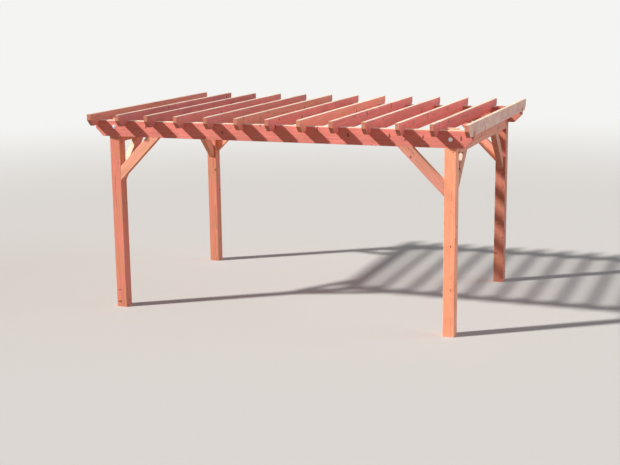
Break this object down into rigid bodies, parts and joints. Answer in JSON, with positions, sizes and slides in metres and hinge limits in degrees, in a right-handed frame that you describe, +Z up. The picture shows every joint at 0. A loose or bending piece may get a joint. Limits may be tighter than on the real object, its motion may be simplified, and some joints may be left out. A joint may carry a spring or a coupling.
{
  "type": "wooden garden pergola",
  "caption": "Open timber garden pergola: corner posts with knee braces carry two long beams, side beams and a row of notched rafters with clipped tails.",
  "frame": {"origin": "on the ground, at the middle of the four posts", "axes": "+X along the long beams to the right as seen from the front, +Y from the front beam to the back beam, +Z up"},
  "size_m": [4.928, 3.394, 2.546],
  "materials": {
    "post_timber": "semi-transparent reddish stain on surfaced softwood",
    "beam_timber": "semi-transparent reddish stain on rough-sawn softwood",
    "rafter_timber": "semi-transparent reddish stain on rough-sawn softwood",
    "brace_timber": "semi-transparent reddish stain on rough-sawn softwood",
    "zinc_fixings": "hot-dip galvanised"
  },
  "bodies": {
    "root": {"front_left_post": "post_timber", "front_left_long_brace": "brace_timber", "front_left_side_brace": "brace_timber", "front_right_post": "post_timber", "front_right_long_brace": "brace_timber", "front_right_side_brace": "brace_timber", "back_left_post": "post_timber", "back_left_long_brace": "brace_timber", "back_left_side_brace": "brace_timber", "back_right_post": "post_timber", "back_right_long_brace": "brace_timber", "back_right_side_brace": "brace_timber", "front_beam": "beam_timber", "back_beam": "beam_timber", "left_side_beam": "beam_timber", "right_side_beam": "beam_timber", "rafter_01": "rafter_timber", "rafter_02": "rafter_timber", "rafter_03": "rafter_timber", "rafter_04": "rafter_timber", "rafter_05": "rafter_timber", "rafter_06": "rafter_timber", "rafter_07": "rafter_timber", "rafter_08": "rafter_timber", "rafter_09": "rafter_timber", "rafter_10": "rafter_timber", "rafter_11": "rafter_timber", "rafter_12": "rafter_timber", "rafter_13": "rafter_timber"}
  },
  "joints": []
}
